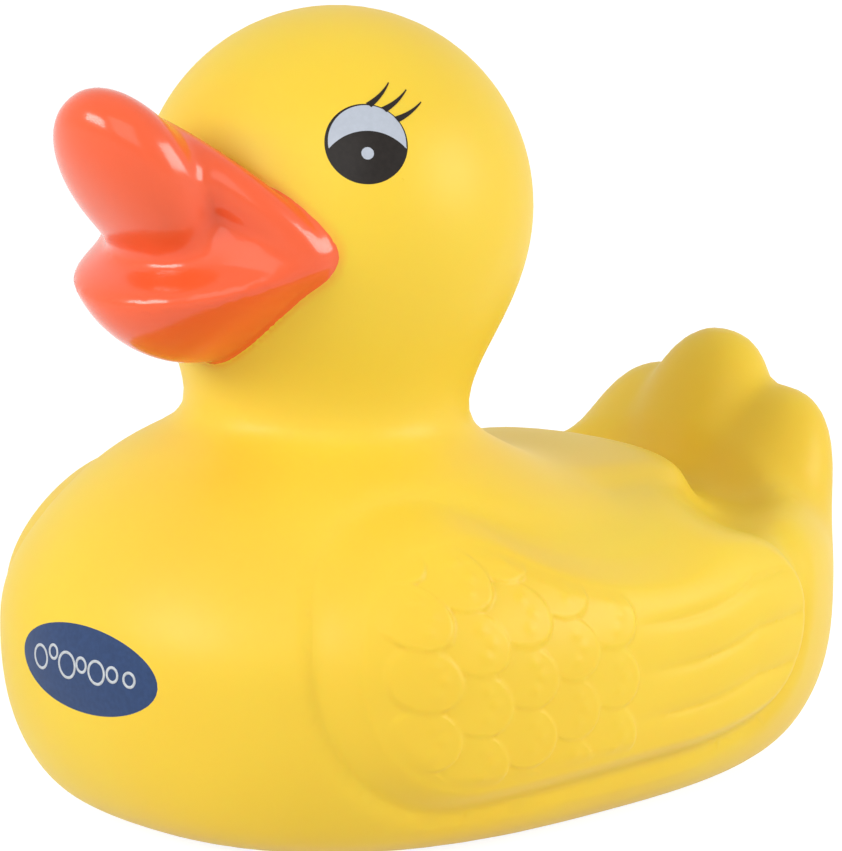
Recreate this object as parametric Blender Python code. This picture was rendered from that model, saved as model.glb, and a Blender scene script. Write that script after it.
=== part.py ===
"""A moulded vinyl bath duck: one hollow piece with a painted bill, printed eyes and a chest badge.

The outside is one smooth field of rounded forms that blend into each other. Blender's openvdb
draws a skin on it, the inside is the same field one wall further in, and a round vent in the flat
base opens the hollow. Metres throughout, with -Y forward, +X to the duck's left and +Z up."""

import bmesh
import bpy
import numpy as np
import openvdb

# Body: a rounded hull, with a fuller chest ahead of it
HULL_HALF_WIDTH = 0.0402
HULL_HALF_LENGTH = 0.0554
HULL_Y = 0.0014
HULL_WIDEST_Z = 0.0215
HULL_RISE = 0.0182
HULL_DROP = 0.0300
HULL_PLAN_POWER = 2.5
HULL_SIDE_POWER = 2.7
CHEST_HALF_WIDTH = 0.0356
CHEST_HALF_LENGTH = 0.0341
CHEST_Y = -0.0188
CHEST_Z = 0.0230
CHEST_RISE = 0.0277
CHEST_POWER = 2.1
CHEST_FILLET = 0.0120
BASE_EDGE_FILLET = 0.0065

# Valley round the rump, which parts the back from the wings' rear and the tail
VALLEY_HALF_WIDTH = 0.0380
VALLEY_REACH = 0.0420
VALLEY_Z = 0.0362
VALLEY_CLIMB = 0.0040
VALLEY_RADIUS = 0.0055
VALLEY_FULL_Y = 0.0240
VALLEY_FILLET = 0.0060

# Neck and head
NECK_RADIUS = 0.0166
NECK_Y = -0.0160
NECK_TOP_Z = 0.0686
NECK_FILLET = 0.0150
SHOULDER_FILLET = 0.0060
HEAD_RADIUS = 0.0241
HEAD_Y = -0.0142
HEAD_Z = 0.0746

# Tail: three feathers side by side
TAIL_ROOT_Z = 0.0040
TAIL_THICKNESS = 0.0162
TAIL_MIDDLE_ROOT_Y = 0.0406
TAIL_MIDDLE_TIP_Y = 0.0554
TAIL_MIDDLE_TIP_Z = 0.0496
TAIL_MIDDLE_WIDTH = 0.0236
TAIL_SIDE_ROOT_Y = 0.0378
TAIL_SIDE_ROOT_X = 0.0104
TAIL_SIDE_TIP_X = 0.0104
TAIL_SIDE_TIP_Y = 0.0563
TAIL_SIDE_TIP_Z = 0.0432
TAIL_SIDE_WIDTH = 0.0236
TAIL_CREASE = 0.0030
PETAL_POWER = 2.3
TAIL_FILLET = 0.0080

# Bill: a ridge round its root, an upper lip that turns up, a web behind it and a lower lip
RIDGE_Y = -0.0322
RIDGE_Z = 0.0722
RIDGE_HALF_WIDTH = 0.0150
RIDGE_HEIGHT = 0.0180
RIDGE_LEAN_DEGREES = 47.0
RIDGE_POWER = 1.5
RIDGE_RADIUS = 0.0030
RIDGE_FILLET = 0.0030
UPPER_LIP_Y = -0.0465
UPPER_LIP_Z = 0.0812
UPPER_LIP_HALF_WIDTH = 0.0100
UPPER_LIP_HALF_LENGTH = 0.0126
UPPER_LIP_HALF_THICKNESS = 0.0058
UPPER_LIP_PITCH_DEGREES = 56.0
UPPER_LIP_POWER = 2.3
WEB_Y = -0.0330
WEB_Z = 0.0725
WEB_HALF_WIDTH = 0.0165
WEB_HALF_DEPTH = 0.0115
WEB_HALF_HEIGHT = 0.0070
WEB_FILLET = 0.0060
LOWER_LIP_Y = -0.0333
LOWER_LIP_Z = 0.0708
LOWER_LIP_HALF_WIDTH = 0.0172
LOWER_LIP_HALF_LENGTH = 0.0182
LOWER_LIP_RISE = 0.0045
LOWER_LIP_DROP = 0.0130
LOWER_LIP_PITCH_DEGREES = -14.0
LOWER_LIP_TAPER = 0.45
LOWER_LIP_POWER = 1.9
MOUTH_FILLET = 0.0040
BILL_ROOT_FILLET = 0.0015

# Wings: a raised plate on each side, from a round shoulder over a waist to a round end
WING_FRONT_Y = -0.0255
WING_FRONT_Z = 0.0245
WING_FRONT_RADIUS = 0.0165
WING_WAIST_Y = 0.0060
WING_WAIST_Z = 0.0205
WING_WAIST_HALF_HEIGHT = 0.0115
WING_END_Y = 0.0190
WING_END_Z = 0.0225
WING_END_RADIUS = 0.0120
WING_RISE = 0.0018
WING_RIM = 0.0028
WING_STATIONS = 40
WING_START_X = 0.0134
WING_FULL_X = 0.0200

# Feathers on the wings: overlapping scales ahead, long grooves behind
SCALE_RADIUS = 0.0045
SCALE_RISE = 0.0006
SCALE_FRONT_SHARE = 0.2
SCALE_EDGE = 0.0007
SCALE_PITCH_Y = 0.0065
SCALE_PITCH_Z = 0.0074
SCALE_COLUMNS = 5
SCALE_TILT_DEGREES = -32.0
SCALE_STRETCH = 1.1
GROOVE_DEPTH = 0.0004
GROOVES_START_Y = -0.0060
FEATHERS_ACROSS = 4

# Wall and vent
WALL = 0.0022
VENT_RADIUS = 0.0017
VENT_Y = 0.0120
VENT_SIDES = 24
VENT_CUT_DEPTH = 0.0088

# Paint and print: the bill, the eyes and the chest badge
BILL_PAINT_OVERLAP = 0.0004
EYE_BEARING_DEGREES = 57.6
EYE_HEIGHT_DEGREES = 26.1
EYE_RADIUS = 0.0050
IRIS_RADIUS = 0.0062
IRIS_DROP = 0.0047
BADGE_Z = 0.0227
BADGE_HALF_WIDTH = 0.0125
BADGE_HALF_HEIGHT = 0.0053

# Mesh: the grid that the skins are drawn on, and the faces they keep
OUTSIDE_GRID = 0.0015
INSIDE_GRID = 0.0030
GRID_MARGIN = 0.0060
OUTSIDE_FACES = 9000
INSIDE_FACES = 1700
SETTLE_ROUNDS = 4
SLOPE_STEP = 0.00005
LEAST_STEEPNESS = 0.25
LEAST_CUT = 0.1
SMALLEST = 1e-6

MATERIALS = {
    "yellow_vinyl": ((0.86, 0.60, 0.06), 0.42),
    "orange_paint": ((0.90, 0.13, 0.03), 0.22),
    "white_ink": ((0.56, 0.57, 0.62), 0.35),
    "black_ink": ((0.03, 0.025, 0.02), 0.35),
    "blue_ink": ((0.05, 0.09, 0.23), 0.40),
}
YELLOW, ORANGE, WHITE, BLACK, BLUE = range(len(MATERIALS))


def clear_scene():
    for obj in list(bpy.data.objects):
        bpy.data.objects.remove(obj, do_unlink=True)


def length(*parts):
    return np.sqrt(sum(part * part for part in parts))


def blend(a, b, fillet):
    """The union of two fields, with a fillet where they meet."""
    near = np.maximum(fillet - np.abs(a - b), 0.0) / fillet
    return np.minimum(a, b) - near**3 * fillet / 6.0


def trim(a, b, fillet):
    """What two fields share, with its edge rounded."""
    return -blend(-a, -b, fillet)


def soft_step(value, start, end):
    """0 up to start and 1 from end, with a smooth ramp between."""
    part = np.clip((value - start) / (end - start), 0.0, 1.0)
    return part * part * (3.0 - 2.0 * part)


def pitched(y, z, degrees):
    """Y and Z in axes whose -Y end is raised by that angle."""
    turn = np.radians(degrees)
    return y * np.cos(turn) - z * np.sin(turn), y * np.sin(turn) + z * np.cos(turn)


def rounded(x, y, z, radii, plan_power=2.0, side_power=2.0):
    """A superellipsoid's field, close to a distance near its surface."""
    a, b, c = np.abs(x) / radii[0], np.abs(y) / radii[1], np.abs(z) / radii[2]
    ring = np.maximum((a**plan_power + b**plan_power) ** (1.0 / plan_power), SMALLEST)
    size = np.maximum((ring**side_power + c**side_power) ** (1.0 / side_power), SMALLEST)
    outward = (ring / size) ** (side_power - 1.0)
    slope_x = outward * (a / ring) ** (plan_power - 1.0) / radii[0]
    slope_y = outward * (b / ring) ** (plan_power - 1.0) / radii[1]
    slope_z = (c / size) ** (side_power - 1.0) / radii[2]
    return (size - 1.0) / np.maximum(length(slope_x, slope_y, slope_z), SMALLEST)


def petal(x, y, z, root, tip, width, thickness):
    """A long rounded form from root to tip, with its thickness fore and aft."""
    root, tip = np.array(root), np.array(tip)
    reach = np.linalg.norm(tip - root)
    along = (tip - root) / reach
    across = np.cross(along, (0.0, 1.0, 0.0))
    across /= np.linalg.norm(across)
    deep = np.cross(across, along)
    from_middle = np.stack([x, y, z], axis=-1) - (root + tip) / 2.0
    radii = (width / 2.0, thickness / 2.0, reach / 2.0)
    sideways, through = from_middle @ across, from_middle @ deep
    return rounded(sideways, through, from_middle @ along, radii, side_power=PETAL_POWER)


def valley_field(x, y, z):
    """A bent tube over the rump's plan outline, which rises and thins out towards the front."""
    plan = rounded(x, y, 0.0 * z, (VALLEY_HALF_WIDTH, VALLEY_REACH, VALLEY_REACH))
    height = z - VALLEY_Z - VALLEY_CLIMB * (1.0 - y / VALLEY_REACH)
    fullness = soft_step(y, 0.0, VALLEY_FULL_Y)
    radius = (VALLEY_RADIUS + VALLEY_FILLET) * fullness - VALLEY_FILLET
    return length(plan, height) - radius


def body_field(x, y, z):
    rise = np.where(z > HULL_WIDEST_Z, HULL_RISE, HULL_DROP)
    radii = (HULL_HALF_WIDTH, HULL_HALF_LENGTH, rise)
    hull = rounded(x, y - HULL_Y, z - HULL_WIDEST_Z, radii, HULL_PLAN_POWER, HULL_SIDE_POWER)
    radii = (CHEST_HALF_WIDTH, CHEST_HALF_LENGTH, CHEST_RISE)
    chest = rounded(x, y - CHEST_Y, z - CHEST_Z, radii, CHEST_POWER, CHEST_POWER)
    body = blend(hull, chest, CHEST_FILLET)
    return trim(body, -valley_field(x, y, z), VALLEY_FILLET)


def tail_field(x, y, z):
    middle = petal(
        x,
        y,
        z,
        (0.0, TAIL_MIDDLE_ROOT_Y, TAIL_ROOT_Z),
        (0.0, TAIL_MIDDLE_TIP_Y, TAIL_MIDDLE_TIP_Z),
        TAIL_MIDDLE_WIDTH,
        TAIL_THICKNESS,
    )
    sides = petal(
        np.abs(x),
        y,
        z,
        (TAIL_SIDE_ROOT_X, TAIL_SIDE_ROOT_Y, TAIL_ROOT_Z),
        (TAIL_SIDE_TIP_X, TAIL_SIDE_TIP_Y, TAIL_SIDE_TIP_Z),
        TAIL_SIDE_WIDTH,
        TAIL_THICKNESS,
    )
    return blend(middle, sides, TAIL_CREASE)


def neck_field(x, y, z):
    """An upright tube with round ends, from the middle of the hull into the head."""
    nearest_z = np.clip(z, HULL_WIDEST_Z, NECK_TOP_Z)
    return length(x, y - NECK_Y, z - nearest_z) - NECK_RADIUS


def head_field(x, y, z):
    return length(x, y - HEAD_Y, z - HEAD_Z) - HEAD_RADIUS


def ridge_field(x, y, z):
    """Half a ring that leans forward from the corners of the mouth over the bill's root."""
    lean = np.radians(RIDGE_LEAN_DEGREES)
    across = (y - RIDGE_Y) * np.sin(lean) + (z - RIDGE_Z) * np.cos(lean)
    up = (z - RIDGE_Z) * np.sin(lean) - (y - RIDGE_Y) * np.cos(lean)
    radii = (RIDGE_HALF_WIDTH, RIDGE_HEIGHT, RIDGE_HEIGHT)
    ring = rounded(x, np.maximum(up, 0.0), 0.0 * up, radii, RIDGE_POWER)
    return length(ring, across, np.minimum(up, 0.0)) - RIDGE_RADIUS


def upper_lip_field(x, y, z):
    """A thick round lip that stands up."""
    along, through = pitched(y - UPPER_LIP_Y, z - UPPER_LIP_Z, UPPER_LIP_PITCH_DEGREES)
    radii = (UPPER_LIP_HALF_WIDTH, UPPER_LIP_HALF_LENGTH, UPPER_LIP_HALF_THICKNESS)
    return rounded(x, along, through, radii, side_power=UPPER_LIP_POWER)


def lower_lip_field(x, y, z):
    """A wedge with a flat top and a fuller underside that narrows into the throat."""
    along, up = pitched(y - LOWER_LIP_Y, z - LOWER_LIP_Z, LOWER_LIP_PITCH_DEGREES)
    rise = np.where(up > 0.0, LOWER_LIP_RISE, LOWER_LIP_DROP)
    down_share = np.clip(-up / LOWER_LIP_DROP, 0.0, 1.0)
    narrowed = x / (1.0 - LOWER_LIP_TAPER * down_share)
    radii = (LOWER_LIP_HALF_WIDTH, LOWER_LIP_HALF_LENGTH, rise)
    return rounded(narrowed, along, up, radii, side_power=LOWER_LIP_POWER)


def bill_field(x, y, z):
    web_radii = (WEB_HALF_WIDTH, WEB_HALF_DEPTH, WEB_HALF_HEIGHT)
    web = rounded(x, y - WEB_Y, z - WEB_Z, web_radii)
    above = blend(upper_lip_field(x, y, z), web, WEB_FILLET)
    above = blend(above, ridge_field(x, y, z), RIDGE_FILLET)
    return blend(above, lower_lip_field(x, y, z), MOUTH_FILLET)


def smooth_duck(x, y, z):
    """The whole outside but for the wings."""
    duck = blend(body_field(x, y, z), tail_field(x, y, z), TAIL_FILLET)
    duck = blend(duck, neck_field(x, y, z), SHOULDER_FILLET)
    duck = blend(duck, head_field(x, y, z), NECK_FILLET)
    duck = blend(duck, bill_field(x, y, z), BILL_ROOT_FILLET)
    return trim(duck, -z, BASE_EDGE_FILLET)


def along_wing(y, front, waist, end):
    """A value along the wing that runs smoothly from its front over its waist to its end."""
    ahead = (y - WING_WAIST_Y) / (WING_FRONT_Y - WING_WAIST_Y)
    behind = (y - WING_WAIST_Y) / (WING_END_Y - WING_WAIST_Y)
    ahead = np.clip(ahead, 0.0, 1.0)
    behind = np.clip(behind, 0.0, 1.0)
    return waist + (front - waist) * ahead**2 + (end - waist) * behind**2


def wing_middle(y):
    return along_wing(y, WING_FRONT_Z, WING_WAIST_Z, WING_END_Z)


def wing_half_height(y):
    return along_wing(y, WING_FRONT_RADIUS, WING_WAIST_HALF_HEIGHT, WING_END_RADIUS)


def wing_outline(y, z):
    """The distance to the wing's outline in side view, below zero inside it."""
    nearest = np.full(np.shape(y), np.inf)
    for station in np.linspace(WING_FRONT_Y, WING_END_Y, WING_STATIONS):
        reach = length(y - station, z - wing_middle(station)) - wing_half_height(station)
        nearest = np.minimum(nearest, reach)
    return nearest


def scale_places():
    """The middles of the scales, in columns that stand half a pitch out of step."""
    for column in range(SCALE_COLUMNS):
        y = WING_FRONT_Y - WING_FRONT_RADIUS / 2.0 + SCALE_PITCH_Y * column
        half_step = SCALE_PITCH_Z / 2.0 * (column % 2)
        rows = int(wing_half_height(y) / SCALE_PITCH_Z) + 1
        for row in range(-rows, rows + 1):
            yield y, wing_middle(y) + SCALE_PITCH_Z * row + half_step


def scales(y, z, inward):
    """The height of the scales, each one highest at its rear rim."""
    tilt = np.radians(SCALE_TILT_DEGREES)
    height = np.zeros(np.shape(y))
    for scale_y, scale_z in scale_places():
        dy, dz = y - scale_y, z - scale_z
        rearward = (dy * np.cos(tilt) + dz * np.sin(tilt)) / SCALE_STRETCH
        sideways = (dz * np.cos(tilt) - dy * np.sin(tilt)) * SCALE_STRETCH
        edge = soft_step(SCALE_RADIUS - length(rearward, sideways), 0.0, SCALE_EDGE)
        climb = 0.5 + 0.5 * rearward / SCALE_RADIUS
        height = np.maximum(height, edge * (SCALE_FRONT_SHARE + (1.0 - SCALE_FRONT_SHARE) * climb))
    return SCALE_RISE * height * soft_step(inward, WING_RIM, 2.0 * WING_RIM)


def grooves(y, z, inward):
    """The depth of the grooves between the long feathers."""
    across = (z - wing_middle(y)) / wing_half_height(y)
    between = np.abs(np.sin(np.pi * FEATHERS_ACROSS / 2.0 * (across + 1.0)))
    start = soft_step(y, GROOVES_START_Y, GROOVES_START_Y + 2.0 * SCALE_PITCH_Y)
    return GROOVE_DEPTH * (1.0 - between) ** 2 * start * soft_step(inward, 0.0, 2.0 * WING_RIM)


def wing_height(x, y, z):
    """How far the wings stand out of the hull at a point of its sides."""
    inward = -wing_outline(y, z)
    plate = WING_RISE * soft_step(inward, -WING_RIM / 2.0, WING_RIM)
    on_side = soft_step(np.abs(x), WING_START_X, WING_FULL_X)
    return (plate + scales(y, z, inward) - grooves(y, z, inward)) * on_side


def duck(x, y, z):
    return smooth_duck(x, y, z) - wing_height(x, y, z)


def hollow(x, y, z):
    return smooth_duck(x, y, z) + WALL


def settle(points, field):
    """The points moved along the field's slope onto its surface."""
    for _ in range(SETTLE_ROUNDS):
        value = field(*points.T)
        slope = np.empty_like(points)
        for axis in range(3):
            step = np.zeros(3)
            step[axis] = SLOPE_STEP
            slope[:, axis] = field(*(points + step).T) - field(*(points - step).T)
        slope /= 2.0 * SLOPE_STEP
        steepness = np.maximum((slope**2).sum(axis=1), LEAST_STEEPNESS)
        points = points - slope * (value / steepness)[:, None]
    return points


def reach_of_duck():
    """The corners of a box that holds every form, with a margin."""
    top = HEAD_Z + HEAD_RADIUS
    half_width = HULL_HALF_WIDTH + WING_RISE + SCALE_RISE
    lip = UPPER_LIP_HALF_LENGTH + UPPER_LIP_HALF_THICKNESS
    front = min(HULL_Y - HULL_HALF_LENGTH, CHEST_Y - CHEST_HALF_LENGTH, UPPER_LIP_Y - lip)
    front = min(front, LOWER_LIP_Y - LOWER_LIP_HALF_LENGTH)
    tail = max(TAIL_MIDDLE_TIP_Y, TAIL_SIDE_TIP_Y) + TAIL_THICKNESS / 2.0
    rear = max(HULL_Y + HULL_HALF_LENGTH, tail)
    low = np.array([-half_width, front, 0.0]) - GRID_MARGIN
    high = np.array([half_width, rear, top]) + GRID_MARGIN
    return low, high


def skin(name, field, cell):
    """A closed mesh on the field's surface, from a grid of that cell size."""
    low, high = reach_of_duck()
    steps = np.ceil((high - low) / cell).astype(int)
    axes = [low[axis] + cell * np.arange(steps[axis]) for axis in range(3)]
    x, y, z = np.meshgrid(*axes, indexing="ij")
    grid = openvdb.FloatGrid(GRID_MARGIN)
    grid.copyFromArray(field(x, y, z).astype(np.float32))
    points, quads = grid.convertToQuads(isovalue=0.0)
    mesh = bpy.data.meshes.new(name)
    mesh.from_pydata((low + cell * points).tolist(), [], quads.tolist())
    mesh.update()
    return mesh


def places(verts):
    return np.array([vert.co for vert in verts], dtype=float)


def middles(faces):
    return np.array([face.calc_center_median() for face in faces], dtype=float)


def refine(bm, wanted):
    """Cuts the edges of the faces in that region in two."""
    chosen = wanted(*middles(bm.faces).T)
    edges = {edge for face, cut in zip(bm.faces, chosen) if cut for edge in face.edges}
    bmesh.ops.subdivide_edges(bm, edges=list(edges), cuts=1, use_grid_fill=True)
    bmesh.ops.triangulate(bm, faces=bm.faces)


def on_wing(x, y, z):
    return (np.abs(x) > WING_START_X) & (wing_outline(y, z) < WING_RIM)


def on_bill(x, y, z):
    return bill_field(x, y, z) < RIDGE_RADIUS


def settle_mesh(bm, field):
    for vert, place in zip(bm.verts, settle(places(bm.verts), field)):
        vert.co = place


def thin(obj, faces):
    """Collapses the faces that the form needs least, down to about that many triangles."""
    modifier = obj.modifiers.new("thin", "DECIMATE")
    modifier.ratio = faces / len(obj.data.polygons)
    modifier.use_symmetry = True
    modifier.symmetry_axis = "X"
    with bpy.context.temp_override(object=obj):
        bpy.ops.object.modifier_apply(modifier=modifier.name)


def bill_paint(x, y, z):
    """Above zero on the faces that take the bill's paint."""
    return BILL_PAINT_OVERLAP - bill_field(x, y, z)


def on_eye(x, y, z):
    """A point's place in the plane of the eye on its side: sideways to the rear, and up."""
    bearing, height = np.radians(EYE_BEARING_DEGREES), np.radians(EYE_HEIGHT_DEGREES)
    out, back, up = np.abs(x), y - HEAD_Y, z - HEAD_Z
    sideways = out * np.cos(bearing) + back * np.sin(bearing)
    forward = out * np.sin(bearing) - back * np.cos(bearing)
    return sideways, up * np.cos(height) - forward * np.sin(height)


def eye_print(x, y, z):
    sideways, up = on_eye(x, y, z)
    return np.where(y < HEAD_Y, EYE_RADIUS - length(sideways, up), -EYE_RADIUS)


def iris_print(x, y, z):
    sideways, up = on_eye(x, y, z)
    return np.minimum(eye_print(x, y, z), IRIS_RADIUS - length(sideways, up + IRIS_DROP))


def badge_print(x, y, z):
    oval = 1.0 - length(x / BADGE_HALF_WIDTH, (z - BADGE_Z) / BADGE_HALF_HEIGHT)
    return np.where(y < CHEST_Y, oval * BADGE_HALF_HEIGHT, -BADGE_HALF_HEIGHT)


def paint(bm, inside, slot):
    """Cuts the faces along the border of a printed or painted field, and gives them its material."""
    value = dict(zip(bm.verts, inside(*places(bm.verts).T).tolist()))
    crossed = {}
    for edge in bm.edges:
        start, end = (value[vert] for vert in edge.verts)
        if start * end < 0.0:
            crossed[edge] = min(max(start / (start - end), LEAST_CUT), 1.0 - LEAST_CUT)
    made = bmesh.ops.bisect_edges(bm, edges=list(crossed), cuts=1, edge_percents=crossed)
    border = [item for item in made["geom_split"] if isinstance(item, bmesh.types.BMVert)]
    bmesh.ops.connect_verts(bm, verts=border)
    bmesh.ops.triangulate(bm, faces=[face for face in bm.faces if len(face.verts) > 3])
    for face, depth in zip(bm.faces, inside(*middles(bm.faces).T)):
        if depth > 0.0:
            face.material_index = slot


def outside_skin():
    """The outer skin, settled on the field, thinned, flat at its base, and printed."""
    mesh = skin("duck", duck, OUTSIDE_GRID)
    obj = bpy.data.objects.new("duck", mesh)
    bpy.context.scene.collection.objects.link(obj)
    bm = bmesh.new()
    bm.from_mesh(mesh)
    bmesh.ops.recalc_face_normals(bm, faces=bm.faces)
    bmesh.ops.triangulate(bm, faces=bm.faces)
    refine(bm, on_wing)
    refine(bm, on_bill)
    settle_mesh(bm, duck)
    bm.to_mesh(mesh)
    bm.free()
    thin(obj, OUTSIDE_FACES)
    return obj


def finish_outside(obj):
    bm = bmesh.new()
    bm.from_mesh(obj.data)
    for vert in bm.verts:
        if vert.co.z < SLOPE_STEP:
            vert.co.z = 0.0
    paint(bm, bill_paint, ORANGE)
    paint(bm, eye_print, WHITE)
    paint(bm, iris_print, BLACK)
    paint(bm, badge_print, BLUE)
    bm.to_mesh(obj.data)
    bm.free()


def inside_skin():
    """The skin of the hollow, with its faces turned towards the hollow."""
    mesh = skin("hollow", hollow, INSIDE_GRID)
    obj = bpy.data.objects.new("hollow", mesh)
    bpy.context.scene.collection.objects.link(obj)
    bm = bmesh.new()
    bm.from_mesh(mesh)
    bmesh.ops.recalc_face_normals(bm, faces=bm.faces)
    bmesh.ops.triangulate(bm, faces=bm.faces)
    settle_mesh(bm, hollow)
    bmesh.ops.reverse_faces(bm, faces=bm.faces)
    bm.to_mesh(mesh)
    bm.free()
    thin(obj, INSIDE_FACES)
    return obj


def join(outside, inside):
    """One mesh of both skins."""
    bm = bmesh.new()
    bm.from_mesh(outside.data)
    bm.from_mesh(inside.data)
    for face in bm.faces:
        face.smooth = True
    bm.to_mesh(outside.data)
    bm.free()
    bpy.data.objects.remove(inside, do_unlink=True)


def cut_vent(obj):
    """A round hole through the wall of the base."""
    mesh = bpy.data.meshes.new("vent_cutter")
    bm = bmesh.new()
    bmesh.ops.create_cone(
        bm,
        cap_ends=True,
        segments=VENT_SIDES,
        radius1=VENT_RADIUS,
        radius2=VENT_RADIUS,
        depth=VENT_CUT_DEPTH,
    )
    bm.to_mesh(mesh)
    bm.free()
    cutter = bpy.data.objects.new("vent_cutter", mesh)
    cutter.location = (0.0, VENT_Y, 0.0)
    cutter.hide_render = True
    cutter.display_type = "WIRE"
    bpy.context.scene.collection.objects.link(cutter)
    modifier = obj.modifiers.new("vent", "BOOLEAN")
    modifier.operation = "DIFFERENCE"
    modifier.solver = "EXACT"
    modifier.object = cutter


def add_materials(obj):
    for name, (colour, roughness) in MATERIALS.items():
        material = bpy.data.materials.new(name)
        material.use_nodes = True
        shader = material.node_tree.nodes["Principled BSDF"]
        shader.inputs["Base Color"].default_value = (*colour, 1.0)
        shader.inputs["Roughness"].default_value = roughness
        shader.inputs["Metallic"].default_value = 0.0
        material.diffuse_color = (*colour, 1.0)
        obj.data.materials.append(material)


def main():
    clear_scene()
    outside = outside_skin()
    add_materials(outside)
    finish_outside(outside)
    join(outside, inside_skin())
    cut_vent(outside)


main()
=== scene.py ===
"""Dresses the moulded bath duck: its vinyl skin with feathered wings, its painted bill, its printed
eyes, lashes and chest badge, and the studio round it. Metres, -Y forward, +X to the duck's left."""

import bmesh
import bpy
import numpy as np
import openvdb
from bpy.props import FloatProperty, FloatVectorProperty, IntProperty, PointerProperty
from mathutils import Matrix, Vector


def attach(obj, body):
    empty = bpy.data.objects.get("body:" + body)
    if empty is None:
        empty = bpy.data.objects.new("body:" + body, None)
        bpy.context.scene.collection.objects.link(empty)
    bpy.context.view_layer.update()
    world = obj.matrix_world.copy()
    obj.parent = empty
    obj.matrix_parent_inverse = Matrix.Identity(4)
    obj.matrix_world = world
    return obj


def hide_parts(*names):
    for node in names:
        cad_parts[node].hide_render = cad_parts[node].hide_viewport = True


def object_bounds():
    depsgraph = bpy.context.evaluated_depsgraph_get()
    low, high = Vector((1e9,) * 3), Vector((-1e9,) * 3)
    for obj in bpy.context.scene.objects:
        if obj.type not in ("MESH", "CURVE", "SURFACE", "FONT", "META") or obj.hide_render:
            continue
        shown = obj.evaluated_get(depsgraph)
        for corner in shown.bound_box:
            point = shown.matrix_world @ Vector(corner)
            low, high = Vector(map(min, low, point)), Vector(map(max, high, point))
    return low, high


bl_info = {
    "name": "Bath duck",
    "version": (1, 0, 0),
    "blender": (4, 5, 0),
    "location": "View3D > Sidebar > Bath duck",
    "description": "Makes a moulded vinyl bath duck with painted and printed details",
    "category": "Add Mesh",
}

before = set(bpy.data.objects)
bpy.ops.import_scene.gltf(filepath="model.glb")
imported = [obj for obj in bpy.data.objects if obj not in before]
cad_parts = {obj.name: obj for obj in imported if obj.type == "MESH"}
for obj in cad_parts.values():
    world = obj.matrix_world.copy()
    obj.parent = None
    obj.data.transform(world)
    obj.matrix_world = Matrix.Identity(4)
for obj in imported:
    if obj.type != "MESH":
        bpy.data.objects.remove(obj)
CAD_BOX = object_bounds()

SMALLEST = 1e-6
SLOPE_STEP = 0.00004
SETTLE_ROUNDS = 4
BASE_SNAP = 0.00012
LEAST_STEEPNESS = 0.25
EDGE_MARGIN = 0.02
PIP_RING = 0.42
PIP_TURNS = (-60.0, 0.0, 60.0)
OVERSPRAY_FADE = 1.6
VENT_SEGMENTS = 48
BOX_ALLOWANCE = 0.0005
TONE_RANGE = (0.3, 0.7)
BAND_DEPTH = 0.001
SKIN, PAINT, EYE_WHITE, INK, BADGE, INSIDE = range(6)

NAME_WORDS = {"x": "offset", "y": "place", "z": "height"}
SOCKET_TYPES = {float: "Float", int: "Int"}
PLACING = {
    "Skin": "Geometry",
    "Origin": "Vector",
    "Sideways": "Vector",
    "Up": "Vector",
    "Outward": "Vector",
    "Thickness": 0.00003,
}


def metres(description, default):
    return FloatProperty(description=description, default=default, unit="LENGTH", precision=4)


def degrees(description, default):
    return FloatProperty(description=description, default=np.radians(default), subtype="ANGLE")


def plain(description, default):
    return FloatProperty(description=description, default=default)


def whole(description, default):
    return IntProperty(description=description, default=default, min=1)


def colour(description, default):
    limits = {"size": 3, "min": 0, "max": 1}
    return FloatVectorProperty(
        description=description, default=default, subtype="COLOR", **limits
    )


def name_sizes(sizes):
    """Names each size of a group after its attribute, with plain words for x, y and z."""
    for key, declared in sizes.__annotations__.items():
        words = (NAME_WORDS.get(word, word) for word in key.split("_"))
        declared.keywords["name"] = " ".join(words).capitalize()


class DuckBodySizes(bpy.types.PropertyGroup):
    hull_half_width: metres("From the middle to a flank", 0.0402)
    hull_half_length: metres("From the hull's middle to its stern", 0.0554)
    hull_y: metres("The hull's middle, fore and aft", 0.0014)
    hull_widest_z: metres("Where the hull is widest", 0.0215)
    hull_rise: metres("From the widest height to the back", 0.0182)
    hull_drop: metres("From the widest height down to the keel", 0.0300)
    hull_plan_power: plain("2 is an ellipse from above, more is squarer", 2.5)
    hull_side_power: plain("2 is an ellipse from the side", 2.7)
    chest_half_width: metres("From the middle to its side", 0.0356)
    chest_half_length: metres("From the chest's middle to its front", 0.0341)
    chest_y: metres("The chest's middle, fore and aft", -0.0188)
    chest_z: metres("The chest's middle above the base", 0.0230)
    chest_rise: metres("From the chest's middle to its top", 0.0277)
    chest_power: plain("2 is an ellipsoid, more is squarer", 2.1)
    chest_fillet: metres("Blend between chest and hull", 0.0120)
    base_fillet: metres("Rounding of the base's edge", 0.0065)
    valley_half_width: metres("From the middle to the valley", 0.0380)
    valley_reach: metres("From the middle back to the valley's end", 0.0420)
    valley_z: metres("Height of the valley's middle at its rear", 0.0362)
    valley_climb: metres("How far the valley climbs towards the front", 0.0040)
    valley_radius: metres("Radius of the valley's section", 0.0055)
    valley_full_y: metres("From here back the valley is full", 0.0240)
    valley_fillet: metres("Rounding of the valley's edges", 0.0060)
    wall: metres("Thickness of the vinyl", 0.0022)
    inset: metres("How far the skin lies inside the CAD model", 0.00005)
    vent_radius: metres("Radius of the hole in the base", 0.0017)
    vent_y: metres("The hole's middle, fore and aft", 0.0120)


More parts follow.
